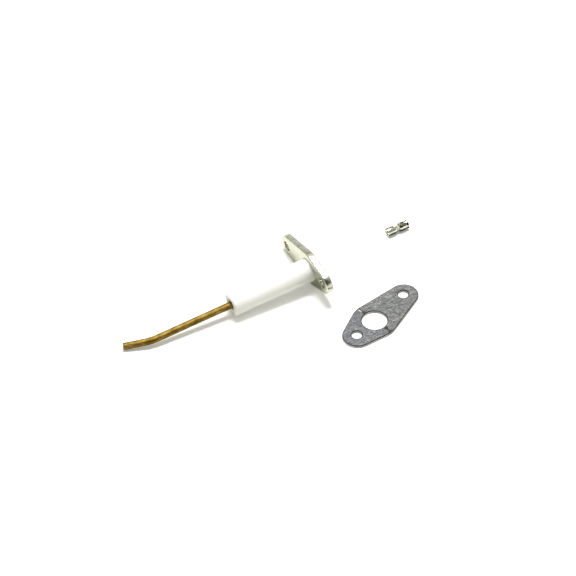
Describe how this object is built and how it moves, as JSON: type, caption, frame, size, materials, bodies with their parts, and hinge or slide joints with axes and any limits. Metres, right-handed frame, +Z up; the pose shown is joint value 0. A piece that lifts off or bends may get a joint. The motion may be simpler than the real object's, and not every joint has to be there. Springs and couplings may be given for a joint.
{
  "type": "ignition electrode",
  "caption": "Burner ignition electrode: bent spark rod in a ceramic insulator with a kite-shaped mounting flange, laid out with its flange gasket and cable terminal.",
  "frame": {"origin": "centre of the set's footprint, on the surface that it lies on", "axes": "+X along the electrode from its tip towards its flange, +Y towards the flange's long ear, +Z up"},
  "size_m": [0.1358, 0.0662, 0.0157],
  "materials": {
    "oxidised_alloy": "satin",
    "bright_steel": "satin",
    "white_ceramic": "satin",
    "cement": "matte",
    "nickel_plate": "gloss",
    "graphite_sheet": "matte",
    "terminal_plate": "gloss"
  },
  "bodies": {
    "electrode": {"electrode_rod": "oxidised_alloy", "rod_stop_collar": "bright_steel", "ceramic_insulator": "white_ceramic", "front_cement_seal": "cement", "rear_cement_seal": "cement", "mounting_flange": "nickel_plate", "flange_cement_ring": "cement"},
    "gasket": {"gasket_bottom_facing": "graphite_sheet", "gasket_steel_core": "bright_steel", "gasket_top_facing": "graphite_sheet"},
    "terminal": {"cable_terminal": "terminal_plate"}
  },
  "joints": [
    {"name": "gasket_lift", "type": "slide", "parent": "electrode", "child": "gasket", "axis": [0, 0, 1], "range_m": [0, 0.04]},
    {"name": "terminal_lift", "type": "slide", "parent": "electrode", "child": "terminal", "axis": [0, 0, 1], "range_m": [0, 0.04]}
  ]
}
